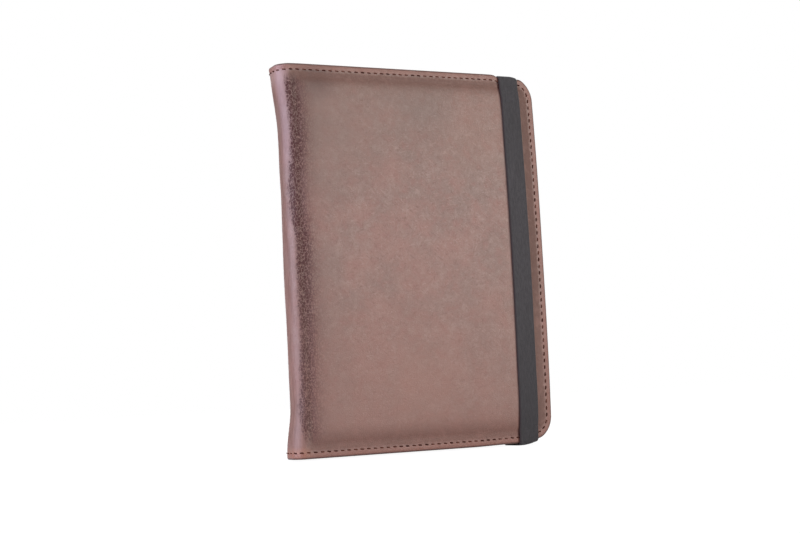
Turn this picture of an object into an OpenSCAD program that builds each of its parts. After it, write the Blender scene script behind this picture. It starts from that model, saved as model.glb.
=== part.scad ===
// Padded leather cover, closed round a sewn notebook and held shut by an elastic band.
// It stands on its lower edge: +Z up, spine at -X, fore-edge at +X, front cover at -Y.
// The origin is the middle of the whole object's footprint, under the band's lower run.
// All sizes are in millimetres.

/* [Notebook] */
// Width of a page
page_w = 148; // [90:1:190]
// Height of a page
page_h = 210; // [130:1:270]
// Radius of the rounded page corners at the fore-edge
page_corner_r = 5; // [2:0.5:8]
// Thickness of one sewn signature of folded sheets
signature_t = 1.4; // [1:0.1:2.4]
// Thickness of the notebook's own card covers
card_t = 0.5; // [0.3:0.1:1]
// Thickness of the cloth tape glued down the back of the signatures
tape_t = 0.4; // [0.2:0.1:0.8]
// Thickness of the thread that sews the signatures together
binding_thread_d = 0.6; // [0.4:0.1:1]

/* [Cover] */
// How far the cover reaches past the pages at the top and at the bottom
edge_overhang = 5; // [5:0.5:12]
// How far the cover reaches past the pages at the fore-edge
fore_overhang = 9.8; // [7:0.2:20]
// Radius of the cover's two fore-edge corners
corner_r = 15.5; // [9:0.5:18]
// Thickness of the outer leather
leather_t = 1.3; // [0.9:0.1:1.8]
// Thickness of the stiffening board; the turned hem is pared to the same thickness
board_t = 1.3; // [0.9:0.1:2]
// Width of the hem, from the cover's edge to the edge of the board
hem_w = 8; // [6.5:0.5:12]
// Thickness of the lining
lining_t = 0.6; // [0.4:0.1:1]
// How far the lining's edge lies inside the cover's edge
lining_inset = 1.5; // [1:0.1:2.2]

/* [Padding] */
// Height of the padded crown above the stitched margin
crown_h = 1.6; // [0.8:0.1:3]
// Width over which the padding rises from its edge to its full height
crown_shoulder = 16; // [8:1:30]

/* [Sleeves] */
// Width of the inner sleeve, from the cover's edge to the sleeve's mouth
sleeve_w = 95; // [50:1:120]
// Thickness of the sleeve's leather
sleeve_t = 0.8; // [0.5:0.1:1.2]
// Width of the sewn border that joins the sleeve to the lining
sleeve_seam_w = 3; // [2:0.1:3.2]

/* [Spine] */
// Depth of each fold's axis under the outer faces that meet there
fold_depth = 1.5; // [1.2:0.1:2.2]
// Running clearance between the fold and the cover panel beside it
fold_gap = 0.35; // [0.3:0.05:0.8]
// How far the middle of the spine is drawn in between its flared ends
pinch = 1.2; // [0.4:0.1:1.4]
// Length over which each end of the spine flares out
flare_l = 24; // [12:1:40]
// Room between the spine's lining and the notebook's tape at the pinched middle
spine_room = 0.6; // [0.4:0.1:2]

/* [Elastic band] */
// Width of the band
band_w = 13; // [8:0.5:16]
// Thickness of the band
band_t = 1; // [0.8:0.1:1.4]
// Distance from the fore-edge to the middle of the band
band_from_edge = 16.6; // [12:0.2:28]
// Clearance between the band and the cover that it passes round
band_gap = 0.25; // [0.2:0.05:0.3]
// Length of each band end that is sewn into the back cover's hem
band_tab_l = 7; // [4:0.5:7.5]

/* [Stitching] */
// Distance from the cover's edge to the stitch line
stitch_margin = 3.6; // [2.4:0.1:4]
// Distance from one stitch to the next
stitch_pitch = 4; // [3:0.1:6]
// Length of thread that shows in each stitch
stitch_l = 3.1; // [2:0.1:3.6]
// Thickness of the sewing thread
stitch_d = 0.7; // [0.5:0.1:0.9]

/* [Hidden] */
$fn = 48;

signature_count = 7;
// The spine's wall lies this far inside its two round folds
wall_set = 0.15;
// The front sleeve moves away from the first page, so the two stay this far apart
page_gap = 0.3;
block_t = signature_count * signature_t;
panel_t = leather_t + board_t;
cover_t = 2 * (panel_t + lining_t + card_t + sleeve_t) + block_t + page_gap;
cover_h = page_h + 2 * edge_overhang;

// Distances from the spine's outer face inwards
wall_x = wall_set + leather_t;
tape_x = pinch + wall_x + lining_t + spine_room;
block_x = tape_x + tape_t + binding_thread_d;
cover_w = block_x + page_w + fore_overhang;
panel_x = 2 * fold_depth + fold_gap;

// The object's planes in its own frame
spine_face = -cover_w / 2;
fore_edge = cover_w / 2;
cover_foot = band_t + band_gap;
cover_top = cover_foot + cover_h;
cover_mid = (cover_foot + cover_top) / 2;
outer_face = cover_t / 2;
board_face = outer_face - leather_t;
lining_face = outer_face - panel_t;
card_face = lining_face - lining_t;
sleeve_face = card_face - card_t;
page_face = sleeve_face - sleeve_t;
first_page = page_gap - page_face;

// Shared details
slice_t = 0.01;
least_corner_r = 3;
crown_steps = 6;
roll_steps = 4;
flare_steps = 10;
bend_r = 1.2;
tab_t = band_t * 0.9;
band_x = fore_edge - band_from_edge;
anchor_y = lining_face + tab_t / 2;
sleeve_border = lining_inset + sleeve_seam_w;
spine_stitch_count = 3;
binding_stations = [0.12, 0.37, 0.63, 0.88];

leather_brown = [0.45, 0.33, 0.29];
lining_brown = [0.33, 0.24, 0.20];
thread_brown = [0.27, 0.15, 0.12];
foam_grey = [0.62, 0.62, 0.60];
board_grey = [0.56, 0.52, 0.46];
card_tan = [0.72, 0.60, 0.44];
paper_cream = [0.93, 0.90, 0.82];
tape_black = [0.16, 0.16, 0.17];
band_charcoal = [0.22, 0.22, 0.23];

// ---------- helpers ----------

// Extrudes a drawing of the cover's face (x across, y up) between two depths
module slab(y_low, y_high) {
    translate([0, y_high, 0]) rotate([90, 0, 0]) linear_extrude(y_high - y_low) children();
}

// Repeats a piece of the front cover on the back cover
module on_back() {
    mirror([0, 1, 0]) children();
}

// Upright rectangle with its two fore-edge corners rounded
module page_shape(x_low, x_high, z_low, z_high, r) {
    union() {
        translate([x_low, z_low]) square([x_high - r - x_low, z_high - z_low]);
        translate([x_low, z_low + r]) square([x_high - x_low, z_high - z_low - 2 * r]);
        for (z = [z_low + r, z_high - r]) translate([x_high - r, z]) circle(r);
    }
}

// The cover's outline, drawn in by an inset on its three free edges
module panel_shape(inset, x_low = panel_x) {
    page_shape(spine_face + x_low, fore_edge - inset, cover_foot + inset, cover_top - inset,
        max(corner_r - inset, least_corner_r));
}

// The same outline drawn in on all four sides, for what lies inside the hem
module inner_shape(inset) {
    panel_shape(inset, inset);
}

// Panel with rolled edges: slices follow a half circle from its outer to its inner face
module rolled_panel() {
    r = panel_t / 2;
    hull() for (i = [0 : roll_steps]) {
        turn = -90 + 180 * i / roll_steps;
        y = r - outer_face + (r - slice_t / 2) * sin(turn);
        slab(y - slice_t / 2, y + slice_t / 2) panel_shape(r * (1 - cos(turn)), $fn = 32);
    }
}

// Crown of a padded panel: slices rise from its foot to a flat top along a quarter ellipse
module crown(foot_inset, base_y) {
    hull() for (i = [0 : crown_steps]) {
        turn = 90 * i / crown_steps;
        y = base_y - (crown_h - slice_t) * sin(turn);
        slab(y - slice_t, y) inner_shape(foot_inset + crown_shoulder * (1 - cos(turn)), $fn = 32);
    }
}

// Height of the crown at a distance from its foot
function crown_at(d) =
    d >= crown_shoulder ? crown_h
    : d <= 0 ? 0
    : crown_h * sqrt(1 - pow(1 - d / crown_shoulder, 2));

// Points of an arc in a plane
function arc(cx, cy, r, from, to, steps) =
    [for (i = [0 : steps]) let (a = from + (to - from) * i / steps) [cx + r * cos(a), cy + r * sin(a)]];

// ---------- panels: the front cover's pieces, which the back cover repeats ----------

module panel_leather() {
    difference() {
        union() {
            rolled_panel();
            crown(hem_w - leather_t, -outer_face);
        }
        slab(-board_face - slice_t, -lining_face + 1) inner_shape(hem_w);
        crown(hem_w, -board_face);
    }
}

module panel_padding() {
    crown(hem_w, -board_face);
}

// The board fills the space inside the hem
module panel_board() {
    slab(-board_face, -lining_face) inner_shape(hem_w);
}

module panel_lining() {
    slab(-lining_face, -card_face) panel_shape(lining_inset);
}

// A flat pocket, open towards the spine, with a border that fills the depth of the card
module panel_sleeve() {
    mouth = cover_w - sleeve_w;
    slab(-sleeve_face, -page_face) panel_shape(lining_inset, mouth);
    slab(-card_face, -sleeve_face) difference() {
        panel_shape(lining_inset, mouth);
        panel_shape(sleeve_border, mouth - 1);
    }
}

module card_shape() {
    page_shape(spine_face + tape_x, spine_face + block_x + page_w,
        cover_mid - page_h / 2, cover_mid + page_h / 2, page_corner_r);
}

module panel_card() {
    slab(-card_face, -sleeve_face) card_shape();
}

// ---------- stitching ----------

// The seam runs along the top, round both corners and back along the bottom
seam_x0 = spine_face + panel_x + 1;
seam_r = corner_r - stitch_margin;
seam_top = cover_top - stitch_margin;
seam_low = cover_foot + stitch_margin;
seam_side = fore_edge - stitch_margin;
seam_level = seam_side - seam_r - seam_x0;
seam_turn = seam_r * PI / 2;
seam_drop = seam_top - seam_low - 2 * seam_r;
seam_l = 2 * seam_level + 2 * seam_turn + seam_drop;

// Place and heading of the seam at a distance from its start: [x, z, heading]
function seam_at(s) =
    s < seam_level ? [seam_x0 + s, seam_top, 0]
    : s < seam_level + seam_turn ? seam_corner(90 - (s - seam_level) / seam_r * 180 / PI, 1)
    : s < seam_level + seam_turn + seam_drop ?
        [seam_side, seam_top - seam_r - (s - seam_level - seam_turn), -90]
    : s < seam_level + 2 * seam_turn + seam_drop ?
        seam_corner(-(s - seam_level - seam_turn - seam_drop) / seam_r * 180 / PI, -1)
    : [seam_x0 + seam_l - s, seam_low, 180];

// Place on the upper (side = 1) or lower (side = -1) corner at a polar angle
function seam_corner(a, side) =
    [seam_side - seam_r + seam_r * cos(a),
     (side > 0 ? seam_top - seam_r : seam_low + seam_r) + seam_r * sin(a), a - 90];

// One stitch of half-round thread along X, its flat side on the plane y = 0
module stitch() {
    translate([-stitch_l / 2, 0, 0]) rotate([0, 90, 0]) linear_extrude(stitch_l) intersection() {
        circle(d = stitch_d, $fn = 24);
        translate([-stitch_d, -stitch_d]) square([2 * stitch_d, stitch_d]);
    }
}

module panel_stitching() {
    count = floor(seam_l / stitch_pitch);
    for (i = [0 : count - 1]) {
        place = seam_at((i + 0.5) * seam_l / count);
        translate([place[0], -outer_face, place[1]]) rotate([0, -place[2], 0]) stitch();
    }
}

// ---------- back cover ----------

module back_leather() {
    color(leather_brown) difference() {
        on_back() panel_leather();
        band_tabs(1);
    }
}

module back_padding() {
    color(foam_grey) on_back() panel_padding();
}

module back_board() {
    color(board_grey) on_back() panel_board();
}

module back_lining() {
    color(lining_brown) on_back() panel_lining();
}

module back_sleeve() {
    color(leather_brown) on_back() panel_sleeve();
}

module back_stitching() {
    color(thread_brown) on_back() panel_stitching();
}

// The band's two sewn ends; as a cutter they run on by the given length past the edge
module band_tabs(run_on = 0) {
    for (side = [-1, 1]) {
        reach = band_tab_l + run_on;
        z_mid = side > 0 ? cover_top - band_tab_l + reach / 2 : cover_foot + band_tab_l - reach / 2;
        translate([band_x, lining_face + tab_t / 2, z_mid]) cube([band_w, tab_t, reach], center = true);
    }
}

module band_ends() {
    color(band_charcoal) band_tabs();
}

// ---------- notebook ----------

module notebook_back_card() {
    color(card_tan) on_back() panel_card();
}

module notebook_front_card() {
    color(card_tan) panel_card();
}

module notebook_spine_tape() {
    color(tape_black)
        translate([spine_face + tape_x, first_page, cover_mid - page_h / 2])
            cube([tape_t, sleeve_face - first_page, page_h]);
}

// Thread that crosses the backs of the signatures at each sewing station
module binding_thread() {
    d = binding_thread_d;
    color(paper_cream) for (share = binding_stations)
        translate([spine_face + tape_x + tape_t + d / 2, page_face, cover_mid + (share - 0.5) * page_h])
            rotate([90, 0, 0]) cylinder(d = d, h = block_t);
}

// Folded sheets: a round fold at the spine, rounded corners at the fore-edge
module signature(number) {
    r = signature_t / 2;
    y_mid = first_page + (number - 0.5) * signature_t;
    x_fold = spine_face + block_x;
    color(paper_cream) intersection() {
        translate([0, 0, cover_mid - page_h / 2]) linear_extrude(page_h) union() {
            translate([x_fold + r, y_mid]) circle(r);
            translate([x_fold + r, y_mid - r]) square([page_w - r, signature_t]);
        }
        slab(y_mid - signature_t, y_mid + signature_t) page_shape(x_fold - 1, x_fold + page_w,
            cover_mid - page_h / 2, cover_mid + page_h / 2, page_corner_r);
    }
}

// ---------- spine ----------

// How far the spine is drawn in at a height: level at both stitched ends, then a soft S-curve
function draw_in(z) =
    let (from_end = min(z - cover_foot, cover_top - z) - 2 * stitch_margin)
    from_end <= 0 ? 0
    : from_end >= flare_l ? pinch
    : pinch * (1 - cos(180 * from_end / flare_l)) / 2;

flare_heights = concat(
    [for (i = [0 : flare_steps]) 2 * stitch_margin + flare_l * i / flare_steps],
    [for (i = [flare_steps : -1 : 0]) cover_h - 2 * stitch_margin - flare_l * i / flare_steps]);

// Side view of a layer of the spine (x across, y up), with rolled ends
module spine_profile(x_out, x_in, end_inset) {
    r = (x_in - x_out) / 2;
    low = cover_foot + end_inset + r;
    high = cover_top - end_inset - r;
    x_mid = spine_face + x_out + r;
    rise = [for (h = flare_heights) cover_foot + h];
    polygon(concat(
        arc(x_mid, low, r, 360, 180, 8),
        [for (z = rise) [spine_face + x_out + draw_in(z), z]],
        arc(x_mid, high, r, 180, 0, 8),
        [for (i = [len(rise) - 1 : -1 : 0]) [spine_face + x_in + draw_in(rise[i]), rise[i]]]));
}

// The rounded fold where the spine meets a cover, slimmer along its middle
module fold_bead(side) {
    r_mid = fold_depth - pinch / 3;
    r_roll = leather_t / 2;
    slim = [for (h = flare_heights)
        [fold_depth - (fold_depth - r_mid) * draw_in(cover_foot + h) / pinch, h]];
    translate([spine_face + fold_depth, side * (outer_face - fold_depth), cover_foot])
        rotate_extrude() polygon(concat(
            [[0, 0]],
            arc(fold_depth - r_roll, r_roll, r_roll, -90, 0, 4),
            slim,
            arc(fold_depth - r_roll, cover_h - r_roll, r_roll, 0, 90, 4),
            [[0, cover_h]]));
}

module spine_leather() {
    fold_y = outer_face - fold_depth;
    color(leather_brown) union() {
        slab(-fold_y, fold_y) spine_profile(wall_set, wall_x, wall_set);
        for (side = [-1, 1]) fold_bead(side);
    }
}

// Clear of the linings of both covers, which turn past its long edges
module spine_lining() {
    half = card_face - page_gap;
    color(lining_brown) slab(-half, half)
        spine_profile(wall_x, wall_x + lining_t, lining_inset);
}

// Stitches across the level ends of the spine, in line with the covers' seams
module spine_stitching() {
    span = 2 * (outer_face - fold_depth);
    color(thread_brown) for (z = [seam_low, seam_top], i = [0 : spine_stitch_count - 1])
        translate([spine_face + wall_set, ((i + 0.5) / spine_stitch_count - 0.5) * span, z])
            rotate([0, 0, -90]) stitch();
}

// ---------- front cover ----------

module front_leather() {
    color(leather_brown) panel_leather();
}

module front_padding() {
    color(foam_grey) panel_padding();
}

module front_board() {
    color(board_grey) panel_board();
}

module front_lining() {
    color(lining_brown) panel_lining();
}

module front_sleeve() {
    color(leather_brown) panel_sleeve();
}

module front_stitching() {
    color(thread_brown) panel_stitching();
}

// ---------- elastic band ----------

// Height of the padded crown under the band, at its inner edge
band_crown = crown_at(band_from_edge + band_w / 2 - hem_w + leather_t);
// The band's run leaves the margin where the crown starts and is level past its shoulder
band_rise_l = hem_w - leather_t + crown_shoulder / 2;

// Side view of the band's path at a distance from the cover (x = depth, y = height)
function band_path(clear) =
    let (r = bend_r + clear, y_back = anchor_y + tab_t / 2, y_front = -outer_face - clear,
         low = cover_foot - clear, high = cover_top + clear, y_crown = y_front - band_crown)
    concat(
        [[y_back, low]],
        arc(y_front + r, low + r, r, 270, 180, 6),
        [[y_crown, low + band_rise_l], [y_crown, high - band_rise_l]],
        arc(y_front + r, high - r, r, 180, 90, 6),
        [[y_back, high]]);

module elastic_band() {
    inner = band_path(band_gap);
    outer = band_path(band_gap + band_t);
    ring = concat(outer, [for (i = [len(inner) - 1 : -1 : 0]) inner[i]]);
    color(band_charcoal) translate([band_x - band_w / 2, 0, 0])
        rotate([90, 0, 90]) linear_extrude(band_w) polygon(ring);
}

// ---------- nodes ----------

back_leather();
back_padding();
back_board();
back_lining();
back_sleeve();
back_stitching();
notebook_back_card();
notebook_spine_tape();
binding_thread();
signature(1);  // signature_1
signature(2);  // signature_2
signature(3);  // signature_3
signature(4);  // signature_4
signature(5);  // signature_5
signature(6);  // signature_6
signature(7);  // signature_7
band_ends();
spine_leather();
spine_lining();
spine_stitching();
front_leather();
front_padding();
front_board();
front_lining();
front_sleeve();
front_stitching();
notebook_front_card();
elastic_band();
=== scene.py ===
import math

import bpy
import numpy as np
from mathutils import Matrix, Vector
from mathutils.bvhtree import BVHTree


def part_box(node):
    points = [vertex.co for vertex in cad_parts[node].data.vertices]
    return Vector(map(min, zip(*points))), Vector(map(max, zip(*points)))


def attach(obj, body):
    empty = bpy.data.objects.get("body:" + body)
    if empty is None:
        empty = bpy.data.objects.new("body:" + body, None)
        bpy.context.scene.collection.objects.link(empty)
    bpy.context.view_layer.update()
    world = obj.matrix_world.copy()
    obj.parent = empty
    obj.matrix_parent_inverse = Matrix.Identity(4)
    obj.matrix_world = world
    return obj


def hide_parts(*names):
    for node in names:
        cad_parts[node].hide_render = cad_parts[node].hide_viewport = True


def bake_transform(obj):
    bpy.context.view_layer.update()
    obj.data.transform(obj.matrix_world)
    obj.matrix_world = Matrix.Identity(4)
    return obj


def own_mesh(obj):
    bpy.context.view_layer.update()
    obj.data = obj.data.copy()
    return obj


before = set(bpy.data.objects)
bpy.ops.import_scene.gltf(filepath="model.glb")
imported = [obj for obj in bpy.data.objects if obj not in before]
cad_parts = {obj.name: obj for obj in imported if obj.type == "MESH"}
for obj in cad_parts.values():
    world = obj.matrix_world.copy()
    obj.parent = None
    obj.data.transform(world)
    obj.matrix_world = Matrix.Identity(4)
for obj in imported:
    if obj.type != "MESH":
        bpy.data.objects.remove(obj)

MM = 0.001
QUARTER = math.pi / 2
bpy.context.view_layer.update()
SCENE = bpy.context.scene


def box_mm(node):
    return [np.array(corner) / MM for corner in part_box(node)]


def add_object(name, data):
    added = bpy.data.objects.new(name, data)
    SCENE.collection.objects.link(added)
    return added


# ---------- sizes from the frame ----------

SPINE_LOW, SPINE_HIGH = box_mm("spine_leather")
PANEL_LOW, PANEL_HIGH = box_mm("front_leather")
LINING_LOW, LINING_HIGH = box_mm("front_lining")
SLEEVE_LOW, SLEEVE_HIGH = box_mm("front_sleeve")
BOARD_LOW, BOARD_HIGH = box_mm("front_board")
CARD_LOW, CARD_HIGH = box_mm("notebook_front_card")
BAND_LOW, BAND_HIGH = box_mm("elastic_band")
TAB_LOW, TAB_HIGH = box_mm("band_ends")
SIGNATURE_LOW, SIGNATURE_HIGH = box_mm("signature_1")

SPINE_X = SPINE_LOW[0]
FORE_X = PANEL_HIGH[0]
FOOT, TOP = SPINE_LOW[2], SPINE_HIGH[2]
HEIGHT, MID_Z = TOP - FOOT, (FOOT + TOP) / 2
HALF_T = SPINE_HIGH[1]
CROWN_H = -PANEL_LOW[1] - HALF_T
LINING_FACE, BOARD_FACE = -PANEL_HIGH[1], -BOARD_LOW[1]
LEATHER_T, BOARD_T = HALF_T - BOARD_FACE, BOARD_FACE - LINING_FACE
HEM_W = FORE_X - BOARD_HIGH[0]
LINING_T = LINING_HIGH[1] - LINING_LOW[1]
LINING_INSET = FORE_X - LINING_HIGH[0]
CARD_FACE, SLEEVE_FACE, PAGE_FACE = -LINING_HIGH[1], -CARD_HIGH[1], -SLEEVE_HIGH[1]
BAND_X = (BAND_LOW[0] + BAND_HIGH[0]) / 2
BAND_W = BAND_HIGH[0] - BAND_LOW[0]
BAND_ANCHOR = (TAB_LOW[1] + TAB_HIGH[1]) / 2

# ---------- sizes that the CAD leaves to the looks ----------

CORNER_R, PAGE_CORNER_R = 15.5, 5
# Round folds beside the spine: radius at the ends and the middle, and over what height it changes.
# A rounder fold than the square one bellies out by a share of the difference.
SPINE_R_END, SPINE_R_MID, SPINE_R_RUN = 6.6, 8.4, 14
SPINE_R_SQUARE, OUTLINE_LEAN = 3.8, 0.326
# The spine is drawn in between its flared ends, and its top lip stands out
SPINE_PINCH, FLARE_START, FLARE_FOOT, FLARE_TOP = 3, 2, 27, 36
LIP_OUT, LIP_H = 0.75, 3
# Thickness of the spine's hem, and where a hem's inner step starts and how wide it is
SPINE_HEM, HEM_STEP_AT, HEM_STEP_W = 0.6, 1.2, 0.8
# Flat strip beside the fold, the crown's foot inside the edge, and its round shoulder
HINGE_W, HINGE_RUN = 8, 3
CROWN_FOOT, CROWN_SHOULDER, CROWN_POWER, CROWN_EASE = 6.7, 17, 2.4, 6
# Gutter along the fold, which fades out towards both ends
GUTTER_X, GUTTER_W, GUTTER_DEPTH, GUTTER_START, GUTTER_FADE = 9.5, 3, 0.6, 2.4, 16
SEAM_GROOVE, SEAM_GROOVE_W = 0.18, 0.9
# Uneven padding and handled spine: height, size and seed of their waves
PANEL_WAVES, PANEL_WAVE_START, PANEL_WAVE_FADE = ((0.16, 38, 3), (0.07, 15, 4)), 1, 8
SPINE_WAVE, SPINE_WAVE_END, SPINE_WAVE_RUN = (0.12, 16, 5), 32, 20
# Bow of the covers towards the fore-edge
BOW_H, BACK_BOW, BOW_POWER, BOW_START, BOW_RUN = 2.4, 0.25, 2.5, 4, 120
# The band draws in the edges: how far, and over which share of its width or from where
NIP, NIP_SPREAD, BACK_NIP, BACK_NIP_SPREAD = 1.8, 0.6, 2.05, 0.85
BAND_DENT, NIP_REACH = 0.3, 14
FOOT_NIP, FOOT_NIP_X, FOOT_NIP_W = 1, 5, 5
# Dip of the top edge at the folds, and sag of the bottom edge, which ends short of the band
FOLD_DIP, FOLD_DIP_W = 0.5, 6
FOOT_SAG, FOOT_SAG_RUN, FOOT_SAG_END = 0.45, 30, 8
STITCH_PITCH, STITCH_L, THREAD_R = 4, 2.7, 0.38
SEAM_MARGIN = FORE_X - box_mm("front_stitching")[1][0] + THREAD_R
BAND_T, BAND_LIFT, BAND_GAP, BAND_BEND = 1, 0.05, 0.2, 1.9
# The stretched band is narrower and lies a little to one side
BAND_NECK, BAND_LEAN, BAND_STRETCH_RUN = 0.25, -0.2, 30
# Small clearances that keep layers from sharing a face, and the least the foam and the room
# inside the spine may shrink to
SLIP, BOARD_SLIP, FOAM_SLIP, CARD_SLIP, CARD_THIN, ROOM_SLIP = 0.02, 0.01, 0.03, 0.03, 0.05, 0.1
FOAM_LEAST, ROOM_LEAST = 0.08, 0.3

# ---------- image points (photograph frame, 800 x 533) ----------

IMAGE_W, IMAGE_H = 800, 533
IMAGE_POINTS = {
    "object_left": (268.1, 70.0),
    "object_right": (550.3, 414.0),
    "object_top": (286.0, 62.6),
    "object_bottom": (296.0, 459.5),
    "spine_back_top": (269.3, 68.3),
    "spine_back_bottom": (287.0, 458.4),
    "seam_top": (430.0, 76.5),
    "seam_bottom": (470.0, 440.4),
    "seam_fore_edge": (546.3, 406.5),
    "band_left_middle": (513.4, 300.0),
    "band_right_middle": (532.4, 300.0),
    "band_left_top": (498.2, 85.0),
    "band_right_bottom": (536.5, 440.0),
    "scuff_top_left": (316.0, 78.0),
    "cool_patch_high": (322.0, 125.0),
    "warm_patch_high": (472.0, 140.0),
    "grey_patch_high": (419.0, 107.0),
    "warm_patch_low": (425.0, 385.0),
}

# ---------- camera ----------

CAMERA_PLACE = (-376.5, -744.1, 32)
CAMERA_AIM = (-13.8, -10, 106)
CAMERA_ROLL = 3.04
CAMERA_LENS = 64.9
SENSOR_W = 36
SHIFT_X, SHIFT_Y = 0.0, 0.0
CLIP_NEAR, CLIP_FAR = 0.01, 100


def make_camera():
    place, aim = Vector(CAMERA_PLACE) * MM, Vector(CAMERA_AIM) * MM
    forward = (aim - place).normalized()
    level_right = forward.cross(Vector((0, 0, 1))).normalized()
    roll = math.radians(CAMERA_ROLL)
    right = level_right * math.cos(roll) - level_right.cross(forward) * math.sin(roll)
    data = bpy.data.cameras.new("camera")
    data.sensor_fit = "AUTO"
    data.sensor_width = SENSOR_W
    data.lens = CAMERA_LENS
    data.shift_x, data.shift_y = SHIFT_X, SHIFT_Y
    data.clip_start, data.clip_end = CLIP_NEAR, CLIP_FAR
    camera = add_object("camera", data)
    turn = Matrix((right, right.cross(forward), -forward)).transposed().to_4x4()
    camera.matrix_world = Matrix.Translation(place) @ turn
    SCENE.camera = camera
    return camera


camera = make_camera()
VIEW = np.array(camera.matrix_world)
IMAGE_L = max(IMAGE_W, IMAGE_H)


def surface_at(name, tree):
    """Where the ray through a named image point meets a carrier, in mm. A miss takes the
    nearest place."""
    x, y = IMAGE_POINTS[name]
    ray = Vector((x - IMAGE_W / 2 + SHIFT_X * IMAGE_L, IMAGE_H / 2 - y + SHIFT_Y * IMAGE_L,
                  -IMAGE_L * CAMERA_LENS / SENSOR_W))
    origin = Vector(CAMERA_PLACE) * MM
    ray = (Matrix(VIEW).to_3x3() @ ray).normalized()
    hit = tree.ray_cast(origin, ray)[0]
    if hit is None:
        along = [origin + ray * (0.6 + 0.004 * i) for i in range(120)]
        hit = min((tree.find_nearest(p) for p in along), key=lambda found: found[3])[0]
    return np.array(hit) / MM


# ---------- numeric helpers ----------

def smooth(t):
    t = np.clip(t, 0, 1)
    return t * t * (3 - 2 * t)


def hump(value, place, width):
    """1 at a place, and next to nothing beyond two widths from it."""
    return np.exp(-((value - place) / width) ** 2)


LATTICE, LATTICE_START = 64, 200


def soft_noise(x, y, cell, seed):
    """Smooth noise from -1 to 1 on a seeded lattice of the given cell size."""
    table = np.random.default_rng(seed).uniform(-1, 1, (LATTICE, LATTICE))
    gx, gy = (np.asarray(v) / cell + LATTICE_START for v in (x, y))
    ix, iy = np.floor(gx).astype(int), np.floor(gy).astype(int)
    fx, fy = smooth(gx - ix), smooth(gy - iy)
    x0, x1, y0, y1 = (i % LATTICE for i in (ix, ix + 1, iy, iy + 1))
    low = table[x0, y0] * (1 - fx) + table[x1, y0] * fx
    high = table[x0, y1] * (1 - fx) + table[x1, y1] * fx
    return low * (1 - fy) + high * fy


def unit(vectors):
    return vectors / np.linalg.norm(vectors, axis=-1)[..., None]


def spaced(low, high, fine, coarse, strip):
    """Places from low to high, finely spaced within a strip at both ends."""
    n_strip = max(2, round(strip / fine))
    n_middle = max(2, round((high - low - 2 * strip) / coarse))
    return np.concatenate([
        np.linspace(low, low + strip, n_strip, endpoint=False),
        np.linspace(low + strip, high - strip, n_middle, endpoint=False),
        np.linspace(high - strip, high, n_strip + 1)])


# ---------- the cover's form ----------

def pinched(z):
    """0 at both ends of the spine and 1 along its drawn-in middle."""
    return smooth(np.minimum((z - FOOT - FLARE_START) / FLARE_FOOT,
                             (TOP - z - FLARE_START) / FLARE_TOP))


def spine_radius(z):
    return SPINE_R_END + (SPINE_R_MID - SPINE_R_END) * smooth(
        np.minimum(z - FOOT, TOP - z) / SPINE_R_RUN)


def spine_x(z):
    """Where the spine's face is. A rounder spine bellies out, so that its outline runs on, and
    its top lip flares."""
    lip = LIP_OUT * hump(z, TOP, LIP_H)
    return (SPINE_X + SPINE_PINCH * pinched(z) - lip
            - OUTLINE_LEAN * (spine_radius(z) - SPINE_R_SQUARE))


def section(s, z, depth=0):
    """Point at a distance s along the front half of the cover's section, from the middle of the
    spine, round the fold and across the panel. depth is how far it stands proud of the section."""
    r = spine_radius(z)
    s_fold, s_panel = HALF_T - r, HALF_T - r + QUARTER * r
    turn = math.pi + np.clip((s - s_fold) / r, 0, QUARTER)
    x = spine_x(z) + r + (r + depth) * np.cos(turn) + np.maximum(s - s_panel, 0)
    y = -np.minimum(s, s_fold) + (r + depth) * np.sin(turn)
    return x, y


def section_of_x(x, z):
    """Distance along the section of a place x on the panel."""
    r = spine_radius(z)
    return x - spine_x(z) - r + HALF_T - r + QUARTER * r


def facing(s, z):
    """0 on the spine and 1 on the panel."""
    r = spine_radius(z)
    return np.sin(np.clip((s - HALF_T + r) / r, 0, QUARTER))


def edge_distance(x, z):
    """Distance inwards from the cover's three free edges and its two round corners."""
    qx = x - (FORE_X - CORNER_R)
    qz = np.abs(z - MID_Z) - (HEIGHT / 2 - CORNER_R)
    return CORNER_R - np.hypot(np.maximum(qx, 0), np.maximum(qz, 0)) - np.minimum(
        np.maximum(qx, qz), 0)


def under_band(x, spread=NIP_SPREAD):
    """1 under the band, and 0 beside it."""
    return np.exp(-((x - BAND_X) / (BAND_W * spread)) ** 6)


def relief(x, z):
    """How far the padding lifts the leather of a panel."""
    d, fold = edge_distance(x, z), x - SPINE_X
    rise = np.clip(np.minimum(d - CROWN_FOOT, fold - HINGE_W) / CROWN_SHOULDER, 0, 1)
    crown = CROWN_H * (1 - (1 - rise) ** CROWN_POWER) * smooth(rise * CROWN_EASE)
    gutter = (GUTTER_DEPTH * hump(fold, GUTTER_X, GUTTER_W)
              * smooth((d - GUTTER_START) / GUTTER_FADE))
    seam = SEAM_GROOVE * hump(d, SEAM_MARGIN, SEAM_GROOVE_W)
    uneven = sum(h * soft_noise(x, z, cell, seed) for h, cell, seed in PANEL_WAVES)
    return (crown - gutter - seam - BAND_DENT * under_band(x)
            + uneven * smooth((d - PANEL_WAVE_START) / PANEL_WAVE_FADE))


def on_panel(x):
    """0 on the spine and beside its fold, and 1 where the board begins."""
    return smooth((x - SPINE_X - HINGE_W + HINGE_RUN) / HINGE_RUN)


def in_hem(x, z):
    """1 along the edges, where the leather is turned in."""
    return 1 - smooth((edge_distance(x, z) - HEM_W + HEM_STEP_AT) / HEM_STEP_W)


# Dents of the handled fold: height and depth; their length, and where and how wide they are
FOLD_DENTS, DENT_L, DENT_S, DENT_W = ((150, -0.5), (96, 0.35), (60, -0.2)), 22, 8, 4.5
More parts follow.
